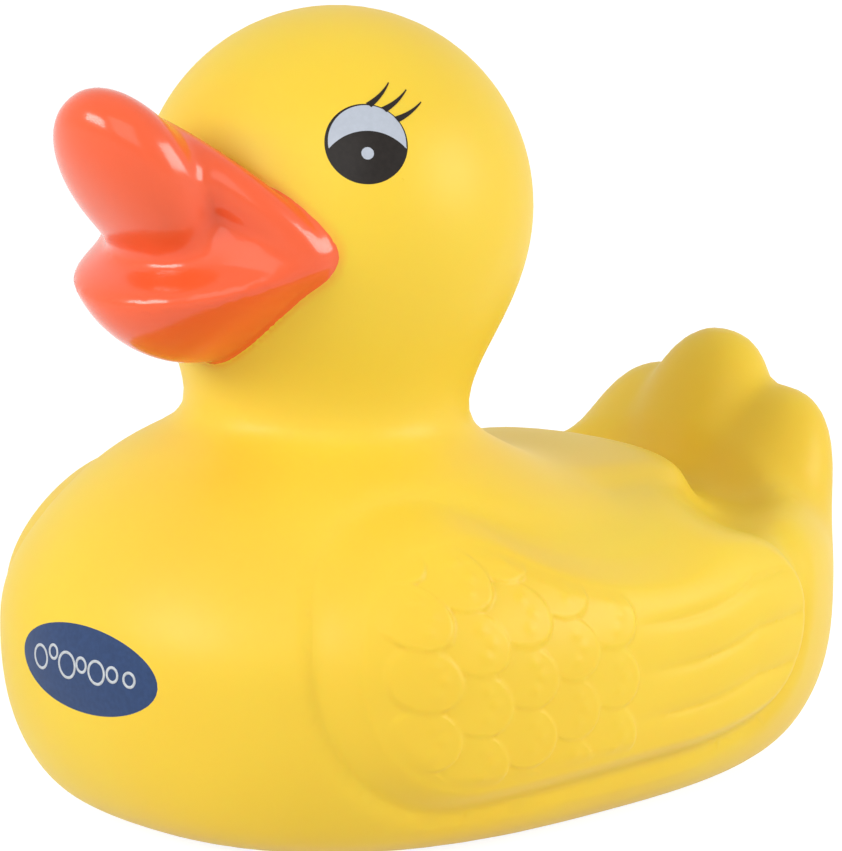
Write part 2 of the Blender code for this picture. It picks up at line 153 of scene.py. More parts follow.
class DuckHeadSizes(bpy.types.PropertyGroup):
    neck_radius: metres("Radius of the neck", 0.0166)
    neck_y: metres("The neck's middle, fore and aft", -0.0160)
    neck_fillet: metres("Blend between neck and head", 0.0150)
    shoulder_fillet: metres("Blend between neck and body", 0.0060)
    neck_top_z: metres("Height of the neck's inner end", 0.0686)
    head_radius: metres("Radius of the head", 0.0241)
    head_y: metres("The head's middle, fore and aft", -0.0142)
    head_z: metres("The head's middle above the base", 0.0746)


class DuckTailSizes(bpy.types.PropertyGroup):
    root_z: metres("Where the tail feathers start inside the hull", 0.0040)
    thickness: metres("Of each feather, fore and aft", 0.0162)
    middle_root_y: metres("Fore and aft place of the middle feather's root", 0.0406)
    middle_tip_y: metres("Fore and aft place of the middle feather's tip", 0.0554)
    middle_tip_z: metres("Height of the middle feather's tip", 0.0496)
    middle_width: metres("Width of the middle feather", 0.0236)
    side_root_y: metres("Fore and aft place of the side feathers' roots", 0.0378)
    side_root_x: metres("Sideways place of the side feathers' roots", 0.0104)
    side_tip_x: metres("Sideways place of the side feathers' tips", 0.0104)
    side_tip_y: metres("Fore and aft place of the side feathers' tips", 0.0563)
    side_tip_z: metres("Height of the side feathers' tips", 0.0432)
    side_width: metres("Width of each side feather", 0.0236)
    crease: metres("Blend between two feathers", 0.0030)
    fillet: metres("Blend between tail and body", 0.0080)
    power: plain("2 is an ellipse from behind, more is squarer", 2.3)


class DuckBillSizes(bpy.types.PropertyGroup):
    ridge_y: metres("Fore and aft place of the ridge's feet", -0.0322)
    ridge_z: metres("Height of the ridge's feet", 0.0722)
    ridge_half_width: metres("Half the width of the ridge", 0.0150)
    ridge_arch: metres("From the ridge's feet to its top", 0.0180)
    ridge_lean: degrees("How far the ridge stands up from level", 47.0)
    ridge_power: plain("1 is a pointed arch, 2 a round one", 1.5)
    ridge_radius: metres("Radius of the ridge's section", 0.0030)
    ridge_fillet: metres("Blend between ridge and lips", 0.0030)
    upper_y: metres("The upper lip's middle, fore and aft", -0.0465)
    upper_z: metres("The upper lip's middle above the base", 0.0812)
    upper_half_width: metres("Half its width", 0.0100)
    upper_half_length: metres("Half its length", 0.0126)
    upper_half_thick: metres("Half its thickness", 0.0058)
    upper_pitch: degrees("How far the lip turns up", 56.0)
    upper_power: plain("2 is an ellipsoid, more is flatter", 2.3)
    web_y: metres("The web's middle, fore and aft", -0.0330)
    web_z: metres("The web's middle above the base", 0.0725)
    web_half_width: metres("Half its width", 0.0165)
    web_half_depth: metres("Half its depth", 0.0115)
    web_half_height: metres("Half its height", 0.0070)
    web_fillet: metres("Blend between web and upper lip", 0.0060)
    lower_y: metres("The lower lip's middle, fore and aft", -0.0333)
    lower_z: metres("The lower lip's widest level", 0.0708)
    lower_half_width: metres("Half its width", 0.0172)
    lower_half_length: metres("Half its length", 0.0182)
    lower_rise: metres("From its widest level to its top", 0.0045)
    lower_drop: metres("From its widest level to its underside", 0.0130)
    lower_pitch: degrees("How far its tip is raised", -14.0)
    lower_taper: plain("Share of its width lost at the underside", 0.45)
    lower_power: plain("2 is an ellipsoid, less is sharper", 1.9)
    mouth_fillet: metres("Blend between the lips", 0.0040)
    root_fillet: metres("Blend between bill and head", 0.0015)
    paint_reach: metres("How far the paint runs onto the head", 0.0004)
    overspray: metres("Width of the thin paint round the bill's root", 0.0016)


class DuckWingSizes(bpy.types.PropertyGroup):
    front_y: metres("Fore and aft place of the wing's round front", -0.0255)
    front_z: metres("Height of the wing's front", 0.0245)
    front_radius: metres("Radius of the wing's front", 0.0165)
    waist_y: metres("Fore and aft place of the wing's waist", 0.0060)
    waist_z: metres("Height of the wing's waist", 0.0205)
    waist_half_height: metres("Half the height of the waist", 0.0115)
    end_y: metres("Fore and aft place of the wing's round end", 0.0190)
    end_z: metres("Height of the wing's end", 0.0225)
    end_radius: metres("Radius of the wing's end", 0.0120)
    rise: metres("How far the wing stands out", 0.0017)
    rim: metres("Width of the wing's rounded rim", 0.0020)
    front_share: plain("Share of the rise at the wing's front", 0.65)
    trench_depth: metres("Of the soft groove outside the wing's edge", 0.0013)
    trench_width: metres("From the groove's bottom to its sides", 0.0011)
    trench_spread: plain("How much wider it is over the wing's waist", 3.2)
    trench_share: plain("Share of its depth round the wing's front", 0.5)
    stations: whole("Circles that the wing's outline is drawn with", 40)
    start_x: metres("From here out the wing's relief begins", 0.0134)
    full_x: metres("From here out the wing's relief is full", 0.0200)
    scale_radius: metres("Radius of a scale feather", 0.0045)
    scale_rise: metres("How far a scale's rim stands out", 0.0006)
    scale_edge: metres("Width of a scale's rounded rim", 0.0007)
    scale_pitch_y: metres("Between columns of scales", 0.0065)
    scale_pitch_z: metres("Between the scales of a column", 0.0074)
    scale_columns: whole("How many columns of scales", 5)
    scale_front_share: plain("Height of a scale's front against its rim", 0.2)
    scale_stretch: plain("Above 1 a scale is longer than it is wide", 1.1)
    scale_tilt: degrees("How far the scales point up", -32.0)
    pip_rise: metres("Height of the small bumps in each scale", 0.00014)
    pip_radius: metres("Radius of a small bump", 0.0007)
    groove_depth: metres("Depth between long feathers", 0.0005)
    grooves_start_y: metres("Where the long feathers start", -0.0060)
    feathers_across: whole("How many long feathers lie across the wing", 4)


class DuckPrintSizes(bpy.types.PropertyGroup):
    eye_bearing: degrees("From straight ahead to the side", 57.6)
    eye_height: degrees("Above level, from the head's middle", 26.1)
    eye_radius: metres("Radius of the black outline", 0.0050)
    outline_width: metres("Width of the black outline at the front", 0.00030)
    outline_shift: metres("How far the white is off centre", 0.00012)
    iris_radius: metres("Radius of the iris's top edge", 0.0062)
    iris_drop: metres("How far its middle lies below the eye's", 0.0047)
    glint_radius: metres("Radius of the white dot", 0.00076)
    glint_drop: metres("How far the dot lies below the eye's middle", 0.0013)
    lash_length: metres("Length of each lash", 0.0042)
    lash_width: metres("Width of a lash at its root", 0.00085)
    lash_count: whole("Lashes on each eye", 3)
    badge_z: metres("The badge's middle above the base", 0.0227)
    badge_half_width: metres("Half the badge's width", 0.0125)
    badge_half_height: metres("Half the badge's height", 0.0053)
    bubble_count: whole("Rings printed on the badge", 7)
    ink_thickness: metres("How far print stands proud", 0.00003)


class DuckMeshSizes(bpy.types.PropertyGroup):
    outside_grid: metres("Cell that the outer skin is drawn on", 0.0015)
    inside_grid: metres("Cell that the inner skin is drawn on", 0.0030)
    margin: metres("Room round the duck", 0.0060)


class DuckColours(bpy.types.PropertyGroup):
    vinyl: colour("The moulding's yellow", (0.86, 0.625, 0.050))
    vinyl_deep: colour("The moulding's yellow where it is thick", (0.83, 0.555, 0.040))
    bill: colour("The bill's orange", (0.84, 0.105, 0.026))
    bill_thin: colour("Orange where the paint is thin", (0.85, 0.145, 0.030))
    eye_white: colour("The eye's white ink", (0.46, 0.50, 0.57))
    ink: colour("The eye's black ink", (0.020, 0.016, 0.014))
    badge: colour("The badge's blue ink", (0.030, 0.062, 0.160))
    motif: colour("The ink of the badge's bubbles", (0.60, 0.64, 0.68))


class DuckStageSizes(bpy.types.PropertyGroup):
    camera_bearing: degrees("From ahead towards the duck's left", 47.0)
    camera_height: degrees("Above level", 12.0)
    camera_distance: metres("From the target to the camera", 0.65)
    target_z: metres("Height of the point that the camera looks at", 0.0445)
    view_width: metres("Width of the picture at the target", 0.10685)
    floor_size: metres("Side of the square floor", 6.0)
    sensor_width: plain("Width of the camera's sensor in millimetres", 36.0)


def length(*parts):
    return np.sqrt(sum(part * part for part in parts))


def blend(a, b, fillet):
    """The union of two fields, with a fillet where they meet."""
    near = np.maximum(fillet - np.abs(a - b), 0.0) / fillet
    return np.minimum(a, b) - near**3 * fillet / 6.0


def trim(a, b, fillet):
    """What two fields share, with its edge rounded."""
    return -blend(-a, -b, fillet)


def soft_step(value, start, end):
    """0 up to start and 1 from end, with a smooth ramp between."""
    part = np.clip((value - start) / (end - start), 0.0, 1.0)
    return part * part * (3.0 - 2.0 * part)


def pitched(y, z, turn):
    """Y and Z in axes whose -Y end is raised by that angle."""
    return y * np.cos(turn) - z * np.sin(turn), y * np.sin(turn) + z * np.cos(turn)


def rounded(x, y, z, radii, plan_power=2.0, side_power=2.0):
    """A superellipsoid's field, close to a distance near its surface."""
    a, b, c = np.abs(x) / radii[0], np.abs(y) / radii[1], np.abs(z) / radii[2]
    ring = np.maximum((a**plan_power + b**plan_power) ** (1.0 / plan_power), SMALLEST)
    size = np.maximum((ring**side_power + c**side_power) ** (1.0 / side_power), SMALLEST)
    outward = (ring / size) ** (side_power - 1.0)
    slope_x = outward * (a / ring) ** (plan_power - 1.0) / radii[0]
    slope_y = outward * (b / ring) ** (plan_power - 1.0) / radii[1]
    slope_z = (c / size) ** (side_power - 1.0) / radii[2]
    return (size - 1.0) / np.maximum(length(slope_x, slope_y, slope_z), SMALLEST)


def petal(x, y, z, root, tip, width, thickness, power):
    """A long rounded form from root to tip, with its thickness fore and aft."""
    root, tip = np.array(root), np.array(tip)
    reach = np.linalg.norm(tip - root)
    along = (tip - root) / reach
    across = np.cross(along, (0.0, 1.0, 0.0))
    across /= np.linalg.norm(across)
    deep = np.cross(across, along)
    from_middle = np.stack([x, y, z], axis=-1) - (root + tip) / 2.0
    radii = (width / 2.0, thickness / 2.0, reach / 2.0)
    return rounded(
        from_middle @ across, from_middle @ deep, from_middle @ along, radii, 2.0, power
    )


class DuckForm:
    """The duck as a field: below zero inside, zero on its surface."""

    def __init__(self, scene):
        self.body = scene.duck_body
        self.head = scene.duck_head
        self.tail = scene.duck_tail
        self.bill = scene.duck_bill
        self.wing = scene.duck_wing
        self.ink = scene.duck_print

    def body_field(self, x, y, z):
        s = self.body
        rise = np.where(z > s.hull_widest_z, s.hull_rise, s.hull_drop)
        hull_radii = (s.hull_half_width, s.hull_half_length, rise)
        powers = (s.hull_plan_power, s.hull_side_power)
        hull = rounded(x, y - s.hull_y, z - s.hull_widest_z, hull_radii, *powers)
        chest_radii = (s.chest_half_width, s.chest_half_length, s.chest_rise)
        powers = (s.chest_power, s.chest_power)
        chest = rounded(x, y - s.chest_y, z - s.chest_z, chest_radii, *powers)
        body = blend(hull, chest, s.chest_fillet)
        return trim(body, -self.valley_field(x, y, z), s.valley_fillet)

    def valley_field(self, x, y, z):
        """A bent tube over the rump's plan outline, which rises and thins out towards the front."""
        s = self.body
        plan = rounded(x, y, 0.0 * z, (s.valley_half_width, s.valley_reach, s.valley_reach))
        height = z - s.valley_z - s.valley_climb * (1.0 - y / s.valley_reach)
        fullness = soft_step(y, 0.0, s.valley_full_y)
        radius = (s.valley_radius + s.valley_fillet) * fullness - s.valley_fillet
        return length(plan, height) - radius

    def tail_field(self, x, y, z):
        s = self.tail
        root = (0.0, s.middle_root_y, s.root_z)
        tip = (0.0, s.middle_tip_y, s.middle_tip_z)
        middle = petal(x, y, z, root, tip, s.middle_width, s.thickness, s.power)
        root = (s.side_root_x, s.side_root_y, s.root_z)
        tip = (s.side_tip_x, s.side_tip_y, s.side_tip_z)
        sides = petal(np.abs(x), y, z, root, tip, s.side_width, s.thickness, s.power)
        return blend(middle, sides, s.crease)

    def neck_field(self, x, y, z):
        s = self.head
        nearest_z = np.clip(z, self.body.hull_widest_z, s.neck_top_z)
        return length(x, y - s.neck_y, z - nearest_z) - s.neck_radius

    def head_field(self, x, y, z):
        s = self.head
        return length(x, y - s.head_y, z - s.head_z) - s.head_radius

    def ridge_field(self, x, y, z):
        """Half a ring that leans forward from the corners of the mouth over the bill's root."""
        s = self.bill
        lean = s.ridge_lean
        across = (y - s.ridge_y) * np.sin(lean) + (z - s.ridge_z) * np.cos(lean)
        up = (z - s.ridge_z) * np.sin(lean) - (y - s.ridge_y) * np.cos(lean)
        radii = (s.ridge_half_width, s.ridge_arch, s.ridge_arch)
        ring = rounded(x, np.maximum(up, 0.0), 0.0 * up, radii, s.ridge_power)
        return length(ring, across, np.minimum(up, 0.0)) - s.ridge_radius

    def upper_lip_field(self, x, y, z):
        """A thick round lip that stands up."""
        s = self.bill
        along, through = pitched(y - s.upper_y, z - s.upper_z, s.upper_pitch)
        radii = (s.upper_half_width, s.upper_half_length, s.upper_half_thick)
        return rounded(x, along, through, radii, side_power=s.upper_power)

    def lower_lip_field(self, x, y, z):
        """A wedge with a flat top and a fuller underside that narrows into the throat."""
        s = self.bill
        along, up = pitched(y - s.lower_y, z - s.lower_z, s.lower_pitch)
        rise = np.where(up > 0.0, s.lower_rise, s.lower_drop)
        down_share = np.clip(-up / s.lower_drop, 0.0, 1.0)
        narrowed = x / (1.0 - s.lower_taper * down_share)
        radii = (s.lower_half_width, s.lower_half_length, rise)
        return rounded(narrowed, along, up, radii, side_power=s.lower_power)

    def bill_field(self, x, y, z):
        s = self.bill
        web_radii = (s.web_half_width, s.web_half_depth, s.web_half_height)
        web = rounded(x, y - s.web_y, z - s.web_z, web_radii)
        above = blend(self.upper_lip_field(x, y, z), web, s.web_fillet)
        above = blend(above, self.ridge_field(x, y, z), s.ridge_fillet)
        return blend(above, self.lower_lip_field(x, y, z), s.mouth_fillet)

    def smooth_field(self, x, y, z):
        """The whole outside but for the wings."""
        field = blend(self.body_field(x, y, z), self.tail_field(x, y, z), self.tail.fillet)
        field = blend(field, self.neck_field(x, y, z), self.head.shoulder_fillet)
        field = blend(field, self.head_field(x, y, z), self.head.neck_fillet)
        field = blend(field, self.bill_field(x, y, z), self.bill.root_fillet)
        return trim(field, -z, self.body.base_fillet)

    def along_wing(self, y, front, waist, end):
        """A value that runs smoothly from the wing's front over its waist to its end."""
        s = self.wing
        ahead = np.clip((y - s.waist_y) / (s.front_y - s.waist_y), 0.0, 1.0)
        behind = np.clip((y - s.waist_y) / (s.end_y - s.waist_y), 0.0, 1.0)
        return waist + (front - waist) * ahead**2 + (end - waist) * behind**2

    def wing_middle(self, y):
        s = self.wing
        return self.along_wing(y, s.front_z, s.waist_z, s.end_z)

    def wing_half_height(self, y):
        s = self.wing
        return self.along_wing(y, s.front_radius, s.waist_half_height, s.end_radius)

    def wing_outline(self, y, z):
        """The distance to the wing's outline in side view, below zero inside it."""
        s = self.wing
        nearest = np.full(np.shape(y), np.inf)
        for station in np.linspace(s.front_y, s.end_y, s.stations):
            middle, radius = self.wing_middle(station), self.wing_half_height(station)
            nearest = np.minimum(nearest, length(y - station, z - middle) - radius)
        return nearest

    def scale_places(self):
        """The middles of the scales, in columns that stand half a pitch out of step."""
        s = self.wing
        for column in range(s.scale_columns):
            y = s.front_y - s.front_radius / 2.0 + s.scale_pitch_y * column
            half_step = s.scale_pitch_z / 2.0 * (column % 2)
            rows = int(self.wing_half_height(y) / s.scale_pitch_z) + 1
            for row in range(-rows, rows + 1):
                yield y, self.wing_middle(y) + s.scale_pitch_z * row + half_step

    def scales(self, y, z, inward):
        """The height of the scales, each one highest at its rear rim."""
        s = self.wing
        tilt = s.scale_tilt
        height = np.zeros(np.shape(y))
        for scale_y, scale_z in self.scale_places():
            dy, dz = y - scale_y, z - scale_z
            rearward = (dy * np.cos(tilt) + dz * np.sin(tilt)) / s.scale_stretch
            sideways = (dz * np.cos(tilt) - dy * np.sin(tilt)) * s.scale_stretch
            edge = soft_step(s.scale_radius - length(rearward, sideways), 0.0, s.scale_edge)
            climb = 0.5 + 0.5 * rearward / s.scale_radius
            share = s.scale_front_share + (1.0 - s.scale_front_share) * climb
            height = np.maximum(height, edge * share)
        return s.scale_rise * height * soft_step(inward, s.rim, 2.0 * s.rim)

    def pips(self, y, z, inward):
        """Small bumps in a ring of three inside each scale."""
        s = self.wing
        height = np.zeros(np.shape(y))
        for scale_y, scale_z in self.scale_places():
            for turn in np.radians(PIP_TURNS):
                pip_y = scale_y + PIP_RING * s.scale_radius * np.cos(turn)
                pip_z = scale_z + PIP_RING * s.scale_radius * np.sin(turn)
                away = length(y - pip_y, z - pip_z) / s.pip_radius
                height = np.maximum(height, np.exp(-away * away))
        return s.pip_rise * height * soft_step(inward, s.rim, 2.0 * s.rim)

    def grooves(self, y, z, inward):
        """The depth of the grooves between the long feathers."""
        s = self.wing
        across = (z - self.wing_middle(y)) / self.wing_half_height(y)
        between = np.abs(np.sin(np.pi * s.feathers_across / 2.0 * (across + 1.0)))
        start = soft_step(y, s.grooves_start_y, s.grooves_start_y + 2.0 * s.scale_pitch_y)
        fade = soft_step(inward, 0.0, 2.0 * s.rim)
        return s.groove_depth * (1.0 - between) ** 2 * start * fade

    def trench(self, y, z, inward):
        """The depth of a groove outside the wing's edge, widest and deepest over its waist."""
        s = self.wing
        above = soft_step(z - self.wing_middle(y), 0.0, s.waist_half_height)
        over_waist = above * soft_step(y, s.front_y, s.waist_y)
        width = s.trench_width * (1.0 + (s.trench_spread - 1.0) * over_waist)
        away = (inward + s.rim / 2.0 + width / 2.0) / width
        share = s.trench_share + (1.0 - s.trench_share) * over_waist
        return s.trench_depth * share * np.exp(-away * away)

    def wing_height(self, x, y, z):
        """How far the wings stand out of the hull at a point of its sides."""
        s = self.wing
        inward = -self.wing_outline(y, z)
        full_rise = soft_step(y, s.front_y - s.front_radius, s.waist_y)
        rise = s.rise * (s.front_share + (1.0 - s.front_share) * full_rise)
        plate = rise * soft_step(inward, -s.rim / 2.0, s.rim) - self.trench(y, z, inward)
        on_side = soft_step(np.abs(x), s.start_x, s.full_x)
        relief = self.scales(y, z, inward) + self.pips(y, z, inward) - self.grooves(y, z, inward)
        return (plate + relief) * on_side

    def outside(self, x, y, z):
        return self.smooth_field(x, y, z) - self.wing_height(x, y, z) + self.body.inset

    def inside(self, x, y, z):
        return self.smooth_field(x, y, z) + self.body.wall

    def on_wing(self, x, y, z):
        side = np.abs(x) > self.wing.start_x
        return side & (self.wing_outline(y, z) < self.wing.rim)

    def on_bill(self, x, y, z):
        return self.bill_field(x, y, z) < self.bill.ridge_radius

    def eye_plane(self, x, y, z):
        """A point's place in the plane of its side's eye: back from the eye's middle, and up."""
        bearing, height = self.ink.eye_bearing, self.ink.eye_height
        out, back, up = np.abs(x), y - self.head.head_y, z - self.head.head_z
        sideways = out * np.cos(bearing) + back * np.sin(bearing)
        forward = out * np.sin(bearing) - back * np.cos(bearing)
        return sideways, up * np.cos(height) - forward * np.sin(height)

    def near_eye(self, x, y, z):
        return self.eye_print(x, y, z) > -self.ink.eye_radius / 5.0

    def near_badge(self, x, y, z):
        return self.badge_print(x, y, z) > -self.ink.badge_half_height / 5.0

    def bill_paint(self, x, y, z):
        return self.bill.paint_reach - self.bill_field(x, y, z)

    def on_face(self, y, value, behind):
        return np.where(y < self.head.head_y, value, -behind)

    def eye_print(self, x, y, z):
        sideways, up = self.eye_plane(x, y, z)
        radius = self.ink.eye_radius
        return self.on_face(y, radius - length(sideways, up), radius)

    def eye_white(self, x, y, z):
        s = self.ink
        sideways, up = self.eye_plane(x, y, z)
        shift = s.outline_shift
        inner = s.eye_radius - s.outline_width - length(sideways - shift, up - shift)
        above_iris = length(sideways, up + s.iris_drop) - s.iris_radius
        return self.on_face(y, np.minimum(inner, above_iris), s.eye_radius)

    def eye_glint(self, x, y, z):
        s = self.ink
        sideways, up = self.eye_plane(x, y, z)
        glint = s.glint_radius - length(sideways, up + s.glint_drop)
        return self.on_face(y, glint, s.glint_radius)

    def badge_print(self, x, y, z):
        s = self.ink
        oval = 1.0 - length(x / s.badge_half_width, (z - s.badge_z) / s.badge_half_height)
        return np.where(y < self.body.chest_y, oval, -1.0) * s.badge_half_height


def settle(points, field):
    """The points moved along the field's slope onto its surface, and the surface's normals."""
    for _ in range(SETTLE_ROUNDS):
        value = field(*points.T)
        slope = slope_of(points, field)
        steepness = np.maximum((slope**2).sum(axis=1), LEAST_STEEPNESS)
        points = points - slope * (value / steepness)[:, None]
    slope = slope_of(points, field)
    return points, slope / np.linalg.norm(slope, axis=1)[:, None]


def slope_of(points, field):
    slope = np.empty_like(points)
    for axis in range(3):
        step = np.zeros(3)
        step[axis] = SLOPE_STEP
        slope[:, axis] = field(*(points + step).T) - field(*(points - step).T)
    return slope / (2.0 * SLOPE_STEP)


def draw_skin(field, cell, margin):
    """A closed mesh on the field's surface, as triangles in a bmesh."""
    low, high = np.array(CAD_BOX[0]) - margin, np.array(CAD_BOX[1]) + margin
    steps = np.ceil((high - low) / cell).astype(int)
    axes = [low[axis] + cell * np.arange(steps[axis]) for axis in range(3)]
    x, y, z = np.meshgrid(*axes, indexing="ij")
    grid = openvdb.FloatGrid(margin)
    grid.copyFromArray(field(x, y, z).astype(np.float32))
    points, quads = grid.convertToQuads(isovalue=0.0)
    mesh = bpy.data.meshes.new("skin")
    mesh.from_pydata((low + cell * points).tolist(), [], quads.tolist())
    bm = bmesh.new()
    bm.from_mesh(mesh)
    bpy.data.meshes.remove(mesh)
    bmesh.ops.recalc_face_normals(bm, faces=bm.faces)
    bmesh.ops.triangulate(bm, faces=bm.faces)
    return bm


def places(verts):
    return np.array([vert.co for vert in verts], dtype=float)


def middles(faces):
    return np.array([face.calc_center_median() for face in faces], dtype=float)


def refine(bm, wanted):
    """Cuts the edges of the faces in that region in two."""
    chosen = wanted(*middles(bm.faces).T)
    edges = {edge for face, cut in zip(bm.faces, chosen) if cut for edge in face.edges}
    bmesh.ops.subdivide_edges(bm, edges=list(edges), cuts=1, use_grid_fill=True)
    bmesh.ops.triangulate(bm, faces=bm.faces)


def settle_mesh(bm, field):
    settled, _ = settle(places(bm.verts), field)
    for vert, place in zip(bm.verts, settled):
        vert.co = place


def print_field(bm, inside, slot):
    """Cuts the faces along the border of a printed or painted field, and gives them its slot."""
    value = dict(zip(bm.verts, inside(*places(bm.verts).T).tolist()))
    crossed = {}
    for edge in bm.edges:
        start, end = (value[vert] for vert in edge.verts)
        if start * end < 0.0:
            share = start / (start - end)
            crossed[edge] = min(max(share, EDGE_MARGIN), 1.0 - EDGE_MARGIN)
    made = bmesh.ops.bisect_edges(bm, edges=list(crossed), cuts=1, edge_percents=crossed)
    border = [item for item in made["geom_split"] if isinstance(item, bmesh.types.BMVert)]
    bmesh.ops.connect_verts(bm, verts=border)
    bmesh.ops.triangulate(bm, faces=[face for face in bm.faces if len(face.verts) > 3])
    for face, depth in zip(bm.faces, inside(*middles(bm.faces).T)):
        if depth > 0.0:
            face.material_index = slot


def outer_skin(form, mesh_sizes):
    bm = draw_skin(form.outside, mesh_sizes.outside_grid, mesh_sizes.margin)
    for region in (form.on_wing, form.on_wing, form.on_bill, form.near_eye, form.near_badge):
        refine(bm, region)
    refine(bm, form.near_eye)
    settle_mesh(bm, form.outside)
    for inside, slot in (
        (form.bill_paint, PAINT),
        (form.eye_print, INK),
        (form.eye_white, EYE_WHITE),
        (form.eye_glint, EYE_WHITE),
        (form.badge_print, BADGE),
    ):
        print_field(bm, inside, slot)
    settle_mesh(bm, form.outside)
    for vert in bm.verts:
        if vert.co.z < BASE_SNAP:
            vert.co.z = 0.0
    return bm


def inner_skin(form, mesh_sizes):
    """The skin of the hollow, with its faces turned towards the hollow."""
    bm = draw_skin(form.inside, mesh_sizes.inside_grid, mesh_sizes.margin)
    settle_mesh(bm, form.inside)
    bmesh.ops.reverse_faces(bm, faces=bm.faces)
    for face in bm.faces:
        face.material_index = INSIDE
    return bm


def add_object(name, data):
    obj = bpy.data.objects.new(name, data)
    bpy.context.scene.collection.objects.link(obj)
    return obj


def object_of(name, bm):
    mesh = bpy.data.meshes.new(name)
    bm.to_mesh(mesh)
    bm.free()
    return add_object(name, mesh)


def cut_vent(obj, body):
    """Cuts the vent with a round pin through the wall of the base."""
    bm = bmesh.new()
    sizes = {"radius1": body.vent_radius, "radius2": body.vent_radius, "depth": 4.0 * body.wall}
    place = Matrix.Translation((0.0, body.vent_y, 0.0))
    bmesh.ops.create_cone(bm, cap_ends=True, segments=VENT_SEGMENTS, matrix=place, **sizes)
    cutter = object_of("vent_cutter", bm)
    modifier = obj.modifiers.new("vent", "BOOLEAN")
    modifier.operation = "DIFFERENCE"
    modifier.solver = "EXACT"
    modifier.object = cutter
    with bpy.context.temp_override(object=obj):
        bpy.ops.object.modifier_apply(modifier=modifier.name)
    bpy.data.objects.remove(cutter, do_unlink=True)


def add_overspray(obj, form):
    """Stores how thin the bill's paint is near its border on the head, from 0 to 1."""
    mesh = obj.data
    points = np.empty(len(mesh.vertices) * 3)
    mesh.vertices.foreach_get("co", points)
    x, y, z = points.reshape(-1, 3).T
    off_head = form.head_field(x, y, z) / form.bill.overspray
    off_bill = form.bill_paint(x, y, z) / form.bill.overspray
    inside = np.clip(1.0 - off_head, 0.0, 1.0) * (off_bill > 0.0)
    outside = np.clip(1.0 + OVERSPRAY_FADE * off_bill, 0.0, 1.0) * (off_bill <= 0.0)
    attribute = mesh.attributes.new("overspray", "FLOAT", "POINT")
    attribute.data.foreach_set("value", (inside + outside).astype(np.float32))


def add_node(tree, kind, values=(), **settings):
    """A node with its settings, and for each input a value or the output that feeds it."""
    node = tree.nodes.new(kind)
    for name, value in settings.items():
        setattr(node, name, value)
    for key, value in dict(values).items():
        if isinstance(value, bpy.types.NodeSocket):
            tree.links.new(value, node.inputs[key])
        else:
            node.inputs[key].default_value = value
    return node


def new_group(name, kind, inputs, outputs):
    """A node group with its two end nodes. An input has its type's name or its default value."""
    group = bpy.data.node_groups.new(name, kind)
    for socket_name, value in inputs.items():
        socket_type = SOCKET_TYPES.get(type(value), value)
        socket = group.interface.new_socket(
            socket_name, in_out="INPUT", socket_type=f"NodeSocket{socket_type}"
        )
        if socket_type != value:
            socket.default_value = value
    for socket_name, socket_type in outputs.items():
        group.interface.new_socket(
            socket_name, in_out="OUTPUT", socket_type=f"NodeSocket{socket_type}"
        )
    return group, group.nodes.new("NodeGroupInput"), group.nodes.new("NodeGroupOutput")


def calculate(tree, operation, *values):
    """The output of a Math node on those values."""
    inputs = dict(enumerate(values))
    return add_node(tree, "ShaderNodeMath", inputs, operation=operation).outputs[0]


def added(tree, first, second):
    inputs = {0: first, 1: second}
    return add_node(tree, "ShaderNodeVectorMath", inputs, operation="ADD").outputs[0]


def scaled(tree, vector, amount):
    inputs = {0: vector, "Scale": amount}
    return add_node(tree, "ShaderNodeVectorMath", inputs, operation="SCALE").outputs[0]


def mould_surface_group():
    """Broad tone and fine mould grain, read from the piece's own coordinates. It is made once."""
    if "mould surface" in bpy.data.node_groups:
        return bpy.data.node_groups["mould surface"]
    inputs = {"Tone Scale": 22.0, "Grain Scale": 900.0, "Grain Strength": 0.3}
    outputs = {"Tone": "Float", "Grain": "Float"}
    group, start, end = new_group("mould surface", "ShaderNodeTree", inputs, outputs)
    given = start.outputs
    place = add_node(group, "ShaderNodeTexCoord").outputs["Object"]

    def noise(scale, detail):
        inputs = {"Vector": place, "Scale": scale, "Detail": detail}
        return add_node(group, "ShaderNodeTexNoise", inputs).outputs["Fac"]

    grain = calculate(group, "MULTIPLY", noise(given["Grain Scale"], 3.0), given["Grain Strength"])
    group.links.new(noise(given["Tone Scale"], 2.0), end.inputs["Tone"])
    group.links.new(grain, end.inputs["Grain"])
    return group


def new_material(name, tone_scale, grain_scale, grain_height, constants):
    """A material with those constants and mould grain, and the output of its broad tone."""
    material = bpy.data.materials.new(name)
    material.use_nodes = True
    tree = material.node_tree
    shader = tree.nodes["Principled BSDF"]
    for key, value in constants.items():
        shader.inputs[key].default_value = value
    inputs = {"Tone Scale": tone_scale, "Grain Scale": grain_scale}
    surface = add_node(tree, "ShaderNodeGroup", inputs, node_tree=mould_surface_group())
    inputs = {"Height": surface.outputs["Grain"], "Strength": 0.25, "Distance": grain_height}
    bump = add_node(tree, "ShaderNodeBump", inputs)
    tree.links.new(bump.outputs["Normal"], shader.inputs["Normal"])
    return material, surface.outputs["Tone"]


def with_base(material, base):
    tree = material.node_tree
    tree.links.new(base, tree.nodes["Principled BSDF"].inputs["Base Color"])
    return material


def mix_colours(tree, share, first, second):
    """The colour between two colours, each one a value or an output."""
    mix = add_node(tree, "ShaderNodeMix", {"Factor": share}, data_type="RGBA")
    for name, value in (("A", first), ("B", second)):
        socket = next(s for s in mix.inputs if s.name == name and s.type == "RGBA")
        if isinstance(value, bpy.types.NodeSocket):
            tree.links.new(value, socket)
        else:
            socket.default_value = (*value, 1.0)
    return next(s for s in mix.outputs if s.type == "RGBA")


def ramp(tree, value, low, high):
    """The value spread from low..high to 0..1."""
    inputs = {"Value": value, "From Min": low, "From Max": high}
    return add_node(tree, "ShaderNodeMapRange", inputs).outputs["Result"]


